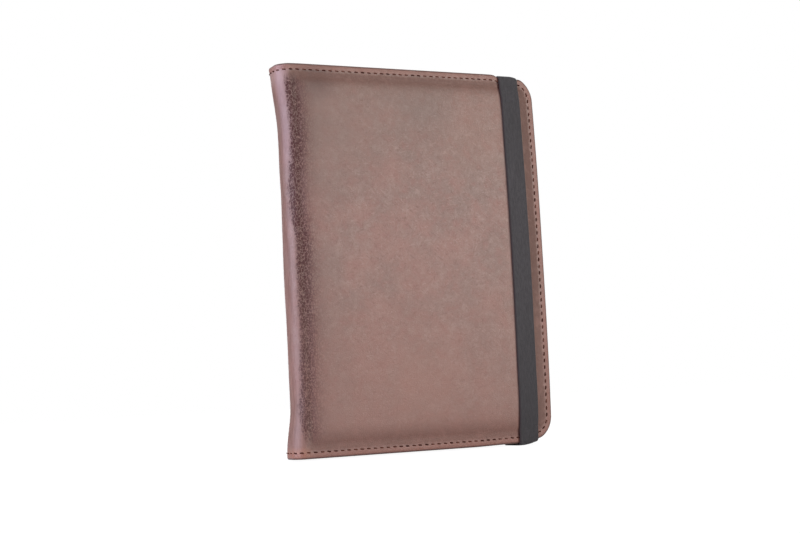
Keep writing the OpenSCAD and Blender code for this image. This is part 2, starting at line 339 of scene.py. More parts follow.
# Bends of the dark crease: height, length and reach
CREASE_BENDS = ((214, 13, 1.9), (178, 15, -0.6), (146, 12, 0.5), (120, 9, -1),
                (68, 14, -0.9), (26, 11, 1.3))


def fold_wander(z):
    """The handled fold wanders: where it is pressed in along its height, and by how much."""
    return sum(depth * hump(z, place, DENT_L) for place, depth in FOLD_DENTS)


def crease_bend(z):
    """How far the dark crease keeps to the spine, along its height."""
    return sum(reach * hump(z, place, length) for place, length, reach in CREASE_BENDS)


def leather_outside(s, z):
    """Crowned on the panels, and uneven where hands have pressed the spine and the fold."""
    x = section(s, z)[0]
    height, cell, seed = SPINE_WAVE
    handled = (height * soft_noise(s, z, cell, seed) * pinched(z)
               * smooth((SPINE_X + SPINE_WAVE_END - x) / SPINE_WAVE_RUN))
    handled = handled + fold_wander(z) * hump(s, DENT_S, DENT_W)
    return section(s, z, relief(x, z) * facing(s, z) + handled)


def leather_inside(s, z):
    """A turned hem along the edges, one thickness of leather elsewhere."""
    x = section(s, z)[0]
    hem = LEATHER_T + SPINE_HEM + (BOARD_T - SPINE_HEM) * on_panel(x)
    sheet = LEATHER_T - np.maximum(relief(x, z), 0) * facing(s, z)
    mix = in_hem(x, z)
    return section(s, z, -(hem * mix + sheet * (1 - mix)))


def lining_outside(s, z, extra=SLIP):
    x = section(s, z)[0]
    return section(s, z, -LEATHER_T - BOARD_T * on_panel(x)
                   - SPINE_HEM * in_hem(x, z) * (1 - on_panel(x)) - extra)


def lining_inside(s, z):
    return lining_outside(s, z, LINING_T)


def room_inside(x, z):
    """Largest distance from the middle plane that stays inside the spine's lining."""
    r = spine_radius(z)
    r_in = r - LEATHER_T - LINING_T - ROOM_SLIP
    ahead = np.maximum(spine_x(z) + r - x, 0)
    return HALF_T - r + np.sqrt(np.maximum(r_in ** 2 - ahead ** 2, ROOM_LEAST))


def foot_nip(x, z):
    """The band draws in the cover's bottom corner."""
    return (FOOT_NIP * hump(x, BAND_X + FOOT_NIP_X, FOOT_NIP_W)
            * smooth((FOOT + NIP_REACH - z) / NIP_REACH))


def settled(points, side):
    """The soft cover bows outwards along its fore-edge, the band nips its top and bottom edges,
    and its edges dip a little at the folds and sag along the bottom. The back's nips leave room
    for the band when it swings behind."""
    x, y, z = points.T
    along = np.clip(np.abs(z - MID_Z) / (HEIGHT / 2), 0, 1)
    bow = (1 - along ** BOW_POWER) * smooth((x - SPINE_X - BOW_START) / BOW_RUN)
    y = y + side * (BOW_H if side < 0 else BACK_BOW) * bow
    near_top = smooth((z - TOP + NIP_REACH) / NIP_REACH)
    nip = NIP * under_band(x) if side < 0 else BACK_NIP * under_band(x, BACK_NIP_SPREAD)
    z = z - (nip + FOLD_DIP * hump(x, SPINE_X, FOLD_DIP_W)) * near_top
    z = z - (FOOT_SAG * smooth((FOOT + FOOT_SAG_RUN - z) / FOOT_SAG_RUN)
             * smooth((BAND_X - FOOT_SAG_END - x) / FOOT_SAG_RUN))
    z = z + foot_nip(x, z) + (foot_nip(2 * BAND_X - x, z) if side > 0 else 0)
    return np.stack([x, y, z], axis=1)


# ---------- mesh building ----------

def make_mesh(name, points_mm, faces, **attributes):
    """Smooth-shaded object in the frame; faces is a list of arrays of vertex numbers."""
    points_mm = np.asarray(points_mm, float)
    mesh = bpy.data.meshes.new(name)
    mesh.from_pydata((points_mm * MM).tolist(), [],
                     [f for block in faces for f in np.asarray(block).tolist()])
    mesh.polygons.foreach_set("use_smooth", np.ones(len(mesh.polygons), bool))
    for key, values in attributes.items():
        mesh.attributes.new(key, "FLOAT", "POINT").data.foreach_set(
            "value", np.asarray(values, np.float32))
    mesh.attributes.new("rest", "FLOAT_VECTOR", "POINT").data.foreach_set(
        "vector", points_mm.astype(np.float32).ravel())
    mesh.update()
    return add_object(name, mesh)


def grid_quads(rows, cols, start, flip):
    i, j = np.meshgrid(np.arange(rows - 1), np.arange(cols - 1), indexing="ij")
    a = (start + i * cols + j).ravel()
    quads = np.stack([a, a + 1, a + cols + 1, a + cols], axis=1)
    return quads[:, ::-1] if flip else quads


def round_corners(x, z, x_high, half, r):
    """Bends a grid's two square fore-edge corners into round ones."""
    cx, cz = x_high - r, half - r
    up = np.sign(z - MID_Z)
    a, b = (x - cx) / r, (np.abs(z - MID_Z) - cz) / r
    corner = (a > 0) & (b > 0)
    a, b = np.where(corner, a, 0), np.where(corner, b, 0)
    return (np.where(corner, cx + r * a * np.sqrt(1 - b * b / 2), x),
            np.where(corner, MID_Z + up * (cz + r * b * np.sqrt(1 - a * a / 2)), z))


# Columns of a layer's grid: on the spine, round the fold and beside it, up to FLAT_START. From
# there they are fine within a strip along the edges and coarse elsewhere.
FOLD_COLUMNS, FLAT_START, FINE_STRIP = (5, 14, 9), 15, 10
SKIN_SPACING, BOARD_SPACING, FOAM_SPACING = (1.25, 2.4), (5, 12), (2, 4)
SLEEVE_SPACING, CARD_SPACING = (0.8, 4), (1, 5)
RIM_ROLL, RIM_RINGS, SHARP_ANGLE = 1.3, 6, 60


def layer_grid(x_high, half, r, spacing, x_start):
    """Grid of a layer: distance along the section (x if there is an x_start), height and x."""
    x_fix = SPINE_X + FLAT_START if x_start is None else x_start
    columns = spaced(x_fix, x_high, *spacing, FINE_STRIP)
    heights = spaced(MID_Z - half, MID_Z + half, *spacing, FINE_STRIP)
    if x_start is not None:
        x, z = round_corners(*np.meshgrid(columns, heights), x_high, half, r)
        return x, z, x
    fold = np.concatenate([i + np.linspace(0, 1, n, endpoint=False)
                           for i, n in enumerate(FOLD_COLUMNS)])
    q, z = np.meshgrid(np.concatenate([fold, columns]), heights)
    n = len(fold)
    x, z[:, n:] = round_corners(q[:, n:], z[:, n:], x_high, half, r)
    q[:, n:] = section_of_x(x, z[:, n:])
    t, r_fold, s_fix = q[:, :n], spine_radius(z[:, :n]), section_of_x(x_fix, z[:, :n])
    s_fold = HALF_T - r_fold
    s_panel = s_fold + QUARTER * r_fold
    q[:, :n] = np.where(t < 1, t * s_fold, np.where(
        t < 2, s_fold + (t - 1) * (s_panel - s_fold), s_panel + (t - 2) * (s_fix - s_panel)))
    return q, z, section(q, z)[0]


def along_face(face, s, z):
    return np.stack([*face(s, z), z], axis=-1)


def rim_outwards(x, z, at_end, x_high, half, r):
    """Unit vectors out of the cover's outline, for places along its rim."""
    ax, az = x - x_high + r, np.abs(z - MID_Z) - half + r
    bent = (ax > 0) & (az > 0)
    return unit(np.stack([
        np.where(bent, ax, np.where(at_end, 0, 1)), np.zeros_like(x),
        np.sign(z - MID_Z) * np.where(bent, az, np.where(at_end, 1, 0))], axis=1))


def layer_faces(rows, cols, li, lj, n_rings):
    """Faces of a closed layer: its two grids, the rings of its rim, and where it starts. li and
    lj are the rim's rows and columns."""
    n, m = rows * cols, len(li)
    tracks = [li * cols + lj] + [2 * n + k * m + np.arange(m) for k in range(n_rings)]
    tracks.append(n + li * cols + lj)
    faces = [grid_quads(rows, cols, 0, False), grid_quads(rows, cols, n, True)]
    faces += [np.stack([a[:-1], b[:-1], b[1:], a[1:]], axis=1)
              for a, b in zip(tracks[:-1], tracks[1:])]
    j0 = np.arange(rows) * cols
    faces.append(np.stack([j0[:-1], j0[1:], n + j0[1:], n + j0[:-1]], axis=1))
    faces.append([[t[0] for t in tracks][::-1]])
    faces.append([[t[-1] for t in tracks]])
    return faces


def layer(name, side, outside, inside, inset=0, spacing=SKIN_SPACING, x_start=None, roll=0,
          end_inset=None, corner=None):
    """Closed layer of the cover between two faces, from the middle of the spine, or from x_start,
    to the fore-edge. side is -1 in front and 1 at the back. The faces take a distance along the
    section, or x if there is an x_start, and a height. inset is from the cover's edge, and roll
    rounds the rim."""
    x_high = FORE_X - inset - roll
    half = HEIGHT / 2 - (inset if end_inset is None else end_inset) - roll
    r = (CORNER_R - inset if corner is None else corner) - roll
    q, z, x = layer_grid(x_high, half, r, spacing, x_start)
    rows, cols = q.shape
    out, inn = along_face(outside, q, z), along_face(inside, q, z)
    li, lj = np.array([(0, j) for j in range(cols)] + [(i, cols - 1) for i in range(1, rows)]
                      + [(rows - 1, j) for j in range(cols - 2, -1, -1)]).T
    middle, span = (out[li, lj] + inn[li, lj]) / 2, (out[li, lj] - inn[li, lj]) / 2
    away = rim_outwards(x[li, lj], z[li, lj], (li == 0) | (li == rows - 1), x_high, half, r)
    turns = np.linspace(0, math.pi, RIM_RINGS + 2)[1:-1] if roll else []
    rings = [middle + span * math.cos(t) + away * roll * math.sin(t) for t in turns]
    points = np.concatenate([out.reshape(-1, 3), inn.reshape(-1, 3)] + rings)
    points[:, 1] *= -side
    faces = layer_faces(rows, cols, li, lj, len(rings))
    if side > 0:
        faces = [np.asarray(block)[:, ::-1] for block in faces]
    d = edge_distance(x, z)
    fold_x = x - SPINE_X - 2 * fold_wander(z) + crease_bend(z)
    around = [np.concatenate([a.ravel(), a.ravel()] + [b[li, lj]] * len(rings))
              for a, b in ((d, np.zeros_like(d)), (fold_x, fold_x))]
    piece = make_mesh(name, settled(points, side), faces, rim_d=around[0], fold_x=around[1])
    piece.data.set_sharp_from_angle(angle=math.radians(SHARP_ANGLE))
    return piece


def bend_at_fold(piece, side):
    """The piece crosses the fold between the spine and one cover. Its transform is baked into
    its mesh, the same on either side.
    """
    if side < 0:
        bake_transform(piece)
    else:
        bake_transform(piece)


# ---------- cover pieces ----------

# Width of the sleeve's glued border, and of the step where it leaves the card free
SLEEVE_BORDER, SLEEVE_STEP_W = 2.6, 0.8


def flat_face(depth):
    """Flat face at a depth under the cover's outer one."""
    return lambda x, z: (x, np.full_like(z, depth - HALF_T))


def foam_outside(x, z):
    return x, -(BOARD_FACE + np.maximum(relief(x, z), FOAM_LEAST) - FOAM_SLIP)


def sleeve_outside(x, z):
    """Over the card, and down to the lining along the glued border."""
    border = 1 - smooth((edge_distance(x, z) - LINING_INSET - SLEEVE_BORDER) / SLEEVE_STEP_W)
    return x, -(SLEEVE_FACE - SLIP + (CARD_FACE - SLEEVE_FACE) * border)


def card_face(depth):
    """Face of a card at a depth under its outer one, which keeps inside the round spine."""
    return lambda x, z: (x, -np.minimum(CARD_FACE - CARD_SLIP, room_inside(x, z)) + depth)


COVER = {}
SIDES = {"front": -1, "back": 1}
for word, side in SIDES.items():
    body = word + "_cover"
    skin = layer(word + "_skin", side, leather_outside, leather_inside, roll=RIM_ROLL)
    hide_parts(word + "_leather", "spine_leather")
    bend_at_fold(skin, side)
    liner = layer(word + "_liner", side, lining_outside, lining_inside, LINING_INSET)
    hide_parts(word + "_lining", "spine_lining")
    bend_at_fold(liner, side)
    board = layer(word + "_stiffener", side, flat_face(LEATHER_T + BOARD_SLIP),
                  flat_face(LEATHER_T + BOARD_T - BOARD_SLIP), HEM_W, BOARD_SPACING,
                  SPINE_X + HEM_W)
    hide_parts(word + "_board")
    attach(board, body)
    foam = layer(word + "_foam", side, foam_outside, flat_face(LEATHER_T), HEM_W, FOAM_SPACING,
                 SPINE_X + HEM_W)
    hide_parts(word + "_padding")
    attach(foam, body)
    sleeve = layer(word + "_pocket", side, sleeve_outside, flat_face(HALF_T - PAGE_FACE),
                   LINING_INSET, SLEEVE_SPACING, SLEEVE_LOW[0])
    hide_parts(word + "_sleeve")
    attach(sleeve, body)
    card = layer(word + "_card", side, card_face(0),
                 card_face(CARD_FACE - SLEEVE_FACE - CARD_THIN), FORE_X - CARD_HIGH[0],
                 CARD_SPACING, CARD_LOW[0], end_inset=CARD_LOW[2] - FOOT, corner=PAGE_CORNER_R)
    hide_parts("notebook_" + word + "_card")
    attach(card, body)
    COVER[word] = {"skin": skin, "liner": liner, "board": board, "foam": foam,
                   "sleeve": sleeve, "card": card}

# ---------- seams ----------

SEAM_R = CORNER_R - SEAM_MARGIN
SEAM_DROP = HEIGHT - 2 * CORNER_R
SEAM_LEVEL = float(section_of_x(FORE_X - CORNER_R, TOP))
SEAM_LENGTH = 2 * SEAM_LEVEL + math.pi * SEAM_R + SEAM_DROP
# A stitch is a bead of places along and round the thread. Stitches differ in place and slant, and
# the paler ones are thinner.
BEAD_PLACES, BEAD_ROUNDS, SEAM_SEED = 9, 8, 7
STITCH_JITTER, STITCH_SLANT, SLANT_JITTER = 0.12, 0.10, 0.03
BEAD_LIFT, BEAD_DIVE, BEAD_TAPER, BEAD_THICK, BEAD_THINNER = 0.4, 1.5, 0.35, 1.08, 0.2
HOLE_SHIFT, HOLE_START, HOLE_RUN, SLOPE_STEP = 0.15, 0.35, 0.6, 0.2


def seam_place(u):
    """Seam places at distances u along it, from the middle of the spine's top, along the top,
    down the fore-edge and back along the bottom: distance along the section, and height."""
    v = np.minimum(u, SEAM_LENGTH - u)
    a = np.clip((v - SEAM_LEVEL) / SEAM_R, 0, QUARTER)
    x = FORE_X - CORNER_R + SEAM_R * np.sin(a)
    z = TOP - CORNER_R + SEAM_R * np.cos(a)
    z -= np.maximum(v - SEAM_LEVEL - QUARTER * SEAM_R, 0)
    z = np.where(u > SEAM_LENGTH / 2, 2 * MID_Z - z, z)
    return np.where(v < SEAM_LEVEL, v, section_of_x(x, z)), z


def pocket_inside(s, z):
    """Innermost face of a cover: the pocket where there is one, and the lining elsewhere."""
    x = section(s, z)[0]
    lining_x, lining_y = lining_inside(s, z)
    pocket = x > SLEEVE_LOW[0]
    return np.where(pocket, x, lining_x), np.where(pocket, -PAGE_FACE, lining_y)


def seam_row(face, sign, slant):
    """Thread beads of one seam: each dives into its needle holes and lies slightly askew."""
    count = int(SEAM_LENGTH / STITCH_PITCH)
    rng = np.random.default_rng(SEAM_SEED)
    t = np.linspace(-1, 1, BEAD_PLACES)
    middle = ((np.arange(count) + 0.5) * SEAM_LENGTH / count
              + rng.uniform(-STITCH_JITTER, STITCH_JITTER, count))
    u = np.clip(middle[:, None] + t * STITCH_L / 2, 0, SEAM_LENGTH)
    s, z = seam_place(u)
    centre = along_face(face, s, z)
    heading = unit(np.gradient(centre, axis=1))
    slope = along_face(face, s + SLOPE_STEP, z) - along_face(face, s - SLOPE_STEP, z)
    normal = unit(np.cross(slope, (0, 0, 1)))
    side_way = unit(np.cross(heading, normal))
    askew = slant + rng.uniform(-SLANT_JITTER, SLANT_JITTER, count)
    lean = askew[:, None] * t * STITCH_L / 2
    lift = sign * THREAD_R * (BEAD_LIFT - BEAD_DIVE * np.abs(t) ** 3)
    centre = centre + normal * lift[None, :, None] + side_way * lean[..., None]
    turn = np.arange(BEAD_ROUNDS) / BEAD_ROUNDS * 2 * math.pi
    tone = rng.uniform(0, 1, count)
    thin = (THREAD_R * (1 - BEAD_TAPER * np.abs(t) ** 3)[None, :]
            * (BEAD_THICK - BEAD_THINNER * tone)[:, None])
    ring = (side_way[:, :, None] * np.cos(turn)[:, None]
            + normal[:, :, None] * np.sin(turn)[:, None])
    points = (centre[:, :, None] + thin[..., None, None] * ring).reshape(-1, 3)
    # Painted shade: each stitch loses its paler tone towards the needle holes that it dives into.
    in_hole = smooth((np.abs(t + HOLE_SHIFT) - HOLE_START) / HOLE_RUN)
    tone = np.repeat((tone[:, None] * (1 - in_hole)).ravel(), BEAD_ROUNDS)
    return points, bead_faces(count), tone


def bead_faces(count):
    """Faces of a number of thread beads: their sides, and both ends of each."""
    i, k, j = np.meshgrid(np.arange(count), np.arange(BEAD_PLACES - 1), np.arange(BEAD_ROUNDS),
                          indexing="ij")
    row = (i * BEAD_PLACES + k) * BEAD_ROUNDS
    a, b = (row + j).ravel(), (row + (j + 1) % BEAD_ROUNDS).ravel()
    quads = np.stack([a, b, b + BEAD_ROUNDS, a + BEAD_ROUNDS], axis=1)
    ends = np.arange(count)[:, None] * BEAD_PLACES * BEAD_ROUNDS + np.arange(BEAD_ROUNDS)
    return [quads, ends[:, ::-1], ends + (BEAD_PLACES - 1) * BEAD_ROUNDS]


def make_seam(word, side):
    outer, outer_faces, outer_tone = seam_row(leather_outside, 1, STITCH_SLANT)
    inner, inner_faces, inner_tone = seam_row(pocket_inside, -1, -STITCH_SLANT)
    faces = outer_faces + [np.asarray(f) + len(outer) for f in inner_faces]
    points = np.concatenate([outer, inner])
    points[:, 1] *= -side
    seam = make_mesh(word + "_seam", settled(points, side), faces,
                     tone=np.concatenate([outer_tone, inner_tone]))
    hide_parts(word + "_stitching", "spine_stitching")
    bend_at_fold(seam, side)
    return seam


for word, side in SIDES.items():
    COVER[word]["seam"] = make_seam(word, side)

# ---------- elastic band ----------

# Places of the band's path: along the front, round a bend, and how finely they are spaced
PATH_PLACES, BEND_PLACES, BEND_CLEAR, BAND_STEP = 90, 8, 1.5, 0.8
# Ribs across the band, its rounded selvages, and how it wanders: height, size and seed
BAND_RIBS, RIB_PLACES, RIB_H = 15, 6, 0.06
SELVAGE_R, SELVAGE_THIN = 0.55, 0.85
BAND_WANDER = (0.12, 30, 9)
# Over the round corners of the cover the band's outer side drops, within DROP_REACH of the ends
DROP_REACH, DROP_RUN, DROP_START, DROP_DEPTH = 12, 10, -1, 4


def band_path():
    """Centre line of the band at rest, as y and z, from the back cover's top hem round the front
    to its bottom hem."""
    half, bend = BAND_T / 2, BAND_BEND
    top, foot = TOP - NIP + half + BAND_LIFT, FOOT - half - BAND_GAP
    heights = np.linspace(top - bend - BEND_CLEAR, foot + bend + BEND_CLEAR, PATH_PLACES)
    lift = relief(np.full_like(heights, BAND_X), heights)
    run = np.stack([np.full_like(heights, BAND_X), -(HALF_T + np.maximum(lift, 0)), heights], 1)
    run = settled(run, -1)
    run[:, 1] -= half + BAND_LIFT
    y0, y1 = run[0, 1], run[-1, 1]
    turns = np.linspace(0, QUARTER, BEND_PLACES)
    path = [(BAND_ANCHOR, top), (BAND_ANCHOR - 1, top), (0, top)]
    path += [(y0 + bend - bend * math.sin(a), top - bend + bend * math.cos(a)) for a in turns[:-1]]
    path += list(zip(run[:, 1], heights))
    path += [(y1 + bend - bend * math.cos(a), foot + bend - bend * math.sin(a)) for a in turns[1:]]
    path += [(0, foot), (BAND_ANCHOR - 1, foot), (BAND_ANCHOR, foot)]
    return np.array(path)


def resampled(path, step):
    """A path's places at even steps, and how far along it each lies."""
    gaps = np.linalg.norm(np.diff(path, axis=0), axis=1)
    path = path[np.concatenate([[True], gaps > 1e-6])]
    gone = np.concatenate([[0], np.cumsum(np.linalg.norm(np.diff(path, axis=0), axis=1))])
    places = np.linspace(0, gone[-1], round(gone[-1] / step) + 1)
    return np.stack([np.interp(places, gone, path[:, k]) for k in range(path.shape[1])], 1), places


def make_band():
    path, gone = resampled(band_path(), BAND_STEP)
    run = unit(np.gradient(path, axis=0))
    normal = np.stack([run[:, 1], -run[:, 0]], 1)
    v = np.linspace(-1, 1, BAND_RIBS * RIB_PLACES + 1)
    edge = np.clip((1 - np.abs(v)) * BAND_W / 2 / SELVAGE_R, 0, 1)
    thick = BAND_T / 2 * np.sqrt(1 - (1 - edge) ** 2 * SELVAGE_THIN)
    thick = thick + RIB_H * np.cos(np.pi * v * BAND_RIBS) * edge
    ring_v, ring_h = np.concatenate([v, v[::-1]]), np.concatenate([thick, -thick[::-1]])
    n, m = len(path), len(ring_v)
    height, cell, seed = BAND_WANDER
    wander = height * soft_noise(gone, 0 * gone, cell, seed)
    stretched = smooth(np.minimum(gone, gone[-1] - gone) / BAND_STRETCH_RUN)[:, None]
    x = BAND_X + ring_v[None, :] * (BAND_W / 2 - BAND_NECK * stretched) + wander[:, None]
    x = x + BAND_LEAN * stretched
    y = path[:, :1] + normal[:, :1] * ring_h
    z = path[:, 1:] + normal[:, 1:] * ring_h
    drop = CORNER_R - np.sqrt(CORNER_R ** 2 - np.maximum(x - FORE_X + CORNER_R, 0) ** 2)
    drop = drop * smooth((DROP_START - path[:, :1]) / DROP_DEPTH)
    z = (z - drop * smooth((z - TOP + DROP_REACH) / DROP_RUN)
         + drop * smooth((FOOT + DROP_REACH - z) / DROP_RUN) + foot_nip(x, z))
    points = np.stack([x, y, z], 2).reshape(-1, 3)
    i, j = np.meshgrid(np.arange(n - 1), np.arange(m), indexing="ij")
    a, b = (i * m + j).ravel(), (i * m + (j + 1) % m).ravel()
    quads = np.stack([a, a + m, b + m, b], 1)
    caps = [list(range(m)), [(n - 1) * m + k for k in range(m)][::-1]]
    band = make_mesh("band", points, [quads] + [[c] for c in caps],
                     across=np.tile(ring_v * BAND_W / 2, n), run=np.repeat(gone, m))
    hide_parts("elastic_band")
    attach(band, "elastic")
    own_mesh(band)
    return band


BAND = make_band()

# ---------- materials ----------

class Shader:
    """A procedural material, or the world, built node by node. colour is its colour so far."""

    def __init__(self, name, colour=None, blocks=bpy.data.materials):
        self.block, self.colour = blocks.new(name), colour
        self.block.use_nodes = True
        self.tree = self.block.node_tree

    def put(self, socket, value):
        if isinstance(value, bpy.types.NodeSocket):
            self.tree.links.new(value, socket)
        elif isinstance(value, tuple) and len(value) == 3 and socket.type == "RGBA":
            socket.default_value = (*value, 1)
        else:
            socket.default_value = value

    def add(self, kind, out, inputs, **settings):
        node = self.tree.nodes.new("ShaderNode" + kind)
        for key, value in settings.items():
            setattr(node, key, value)
        for key, value in inputs.items():
            self.put(node.inputs[key], value)
        return node.outputs[out]

    def attribute(self, name, out="Fac"):
        return self.add("Attribute", out, {}, attribute_name=name)

    def axis(self, place, letter):
        return self.add("SeparateXYZ", letter, {0: place})

    def maths(self, operation, a, b=0):
        return self.add("Math", 0, {0: a, 1: b}, operation=operation)

    def plus(self, a, b):
        return self.maths("ADD", a, b)

    def minus(self, a, b):
        return self.maths("SUBTRACT", a, b)

    def times(self, product, *others):
        for other in others:
            product = self.maths("MULTIPLY", product, other)
        return product

    def noise(self, place, scale, detail=2, rough=0.5, twist=0):
        return self.add("TexNoise", "Fac", {
            "Vector": place, "Scale": scale, "Detail": detail, "Roughness": rough,
            "Distortion": twist})

    def cells(self, place, scale, randomness=1):
        """Distance from the borders of random cells."""
        return self.add("TexVoronoi", "Distance", {
            "Vector": place, "Scale": scale, "Randomness": randomness}, feature="DISTANCE_TO_EDGE")

    def step(self, value, low, high, to_low=0, to_high=1):
        """Smooth step of a value between two places."""
        return self.add("MapRange", "Result", {
            "Value": value, "From Min": low, "From Max": high, "To Min": to_low,
            "To Max": to_high}, interpolation_type="SMOOTHSTEP")

    def lay(self, factor, shade):
        """Lays a shade over the colour."""
        self.colour = self.add("Mix", 2, {0: factor, 6: self.colour, 7: shade}, data_type="RGBA")

    def tint(self, shade, value, low, high, amount=1, *within):
        """Lays a shade within masks: none where a value is at low, and an amount at high."""
        self.lay(self.times(self.step(value, low, high, 0, amount), *within), shade)

    def stretched(self, place, scales):
        return self.add("VectorMath", "Vector", {0: place, 1: scales}, operation="MULTIPLY")

    def place_mm(self):
        """Place in the object's own coordinates, in mm."""
        return self.stretched(self.add("TexCoord", "Object", {}), (1 / MM,) * 3)

    def bump(self, height, depth, strength=1):
        return self.add("Bump", "Normal", {
            "Height": height, "Distance": depth * MM, "Strength": strength})

    def finish(self, **inputs):
        for key, value in {"Base_Color": self.colour, **inputs}.items():
            self.put(self.tree.nodes["Principled BSDF"].inputs[key.replace("_", " ")], value)
        return self.block

    def show(self, lit, seen):
        """Ends with one shader for the light and another for what the camera sees."""
        by_camera = self.add("LightPath", "Is Camera Ray", {})
        both = self.add("MixShader", 0, {0: by_camera, 1: lit, 2: seen})
        self.put(self.tree.get_output_node("ALL").inputs["Surface"], both)
        return self.block


def hue(red, green, blue):
    """Linear colour of an 8-bit display colour."""
    return tuple(c / 255 / 12.92 if c <= 10 else ((c / 255 + 0.055) / 1.055) ** 2.4
                 for c in (red, green, blue))


TAUPE, TAN, RUST, PALE = hue(118, 94, 84), hue(134, 99, 88), hue(126, 84, 75), hue(150, 124, 114)
# The second of these darkens the cracks and is also painted shade in the crease and beside the
# band; the third is painted shade on the cover's rounded rim.
DARK_WAX, CRACKS_AND_SHADE, RIM_SHADE = hue(89, 52, 38), hue(62, 24, 19), hue(80, 55, 49)
HANDLED, WARM, HEM = hue(106, 79, 71), hue(129, 91, 78), hue(126, 76, 62)
# The first of these is painted shade for the top of the cover, and the second a painted violet
# reflection on the spine.
TOP_SHADE, PAINTED_REFLECTION, BARE = hue(105, 77, 62), hue(152, 122, 130), hue(156, 110, 88)
MARKS = {"scuff_top_left": (hue(66, 42, 37), 18, 0.85),
         "cool_patch_high": (hue(106, 83, 73), 62, 0.4),
         "warm_patch_high": (hue(138, 100, 84), 34, 0.25),
         "grey_patch_high": (hue(98, 80, 71), 32, 0.4),
         "warm_patch_low": (hue(138, 100, 86), 40, 0.4)}

# Noises of the leather: scale per mm, detail and roughness; and its pebbles per mm
CLOUD, MOTTLE, FLECK, PEBBLE = (0.05, 6, 0.62), (0.2, 6, 0.68), (1.1, 3, 0.65), 0.85
STROKE_TURNS, STROKE_SCALES = (0.2, 1.3, -0.7), (0.3, 1, 1.2)
# Cells of the crackle per mm, and how far the zones' edges are ragged
CRACKLE, NET, RAGGED = 0.85, 0.68, 3.4
# Zones of the dark leather, each from where it starts to where it is full: from the fold, and
# from the rim
CREASE_NEAR, CREASE_FAR, CRAZED_NEAR, CRAZED_FAR = (3.4, 5), (15.5, 8.5), (4, 6), (22, 9)
WAX_OUTER, WAX_INNER, WAX_LOWER = (3.6, 5.6), (15, 5.5), 3


def spine_tones(m, rest, ends, on_spine):
    """Dark streaks, a pale top and a bare foot, a painted violet reflection and painted
    shade on the back.
    """
    y, z = m.axis(rest, "Y"), m.axis(rest, "Z")
    streak = m.noise(m.stretched(rest, (0.45, 0.45, 0.05)), 1, 3, 0.6)
    off_front = m.step(y, 1.5 - HALF_T, 5 - HALF_T)
    m.tint(DARK_WAX, streak, 0.45, 0.62, 0.45, ends, off_front, on_spine)
    m.tint(PALE, z, TOP - 18, TOP - 6, 0.7, on_spine)
    m.tint(BARE, z, FOOT + 7, FOOT + 3, 0.6, on_spine)
    # Painted reflection: a violet tint on the front of the spine's upper part stands in for the
    # left softbox's sheen.
    m.tint(PAINTED_REFLECTION, z, TOP - 72, TOP - 40, 0.26, on_spine, m.step(y, -1, -5))
    # Painted shade: the back half of the spine, which turns away from the camera and the lamps, is
    # darkened.
    m.tint(DARK_WAX, y, -3, 4, 0.14, on_spine)


def crease_masks(m, rest, fold, ends, low):
    """The dark, broken crease beside the fold, partly real crackle and partly painted shade, the
    cracks round it, and the crackle's noise.
    """
    along = m.stretched(rest, (1.1, 1.1, 0.6))
    crackle = m.noise(along, 1, 3, 0.7)
    crazed = m.times(m.step(m.cells(along, CRACKLE), 0.22, 0.02), m.step(fold, *CRAZED_NEAR),
                     m.step(fold, *CRAZED_FAR, 0, 0.55), ends)
    net = m.times(m.step(m.cells(m.stretched(rest, (1, 1, 0.75)), NET), 0.16, 0.05),
                  m.step(crackle, 0.38, 0.52, 0.2, 1))
    # The crease is partly real crackle and partly painted shade, where the turning leather reflects
    # neither the spine's light nor the panel's.
    crease = m.times(m.step(fold, *CREASE_NEAR), m.step(fold, *CREASE_FAR), ends)
    broken = m.step(m.minus(crackle, m.times(crease, 0.1)), 0.55, 0.38, 0.45, 1)
    crease = m.times(crease, m.step(low, 0, 1, 0.92, 0.67), broken,
                     m.step(net, 0, 1, 1.22, 0.26))
    return crease, crazed, crackle


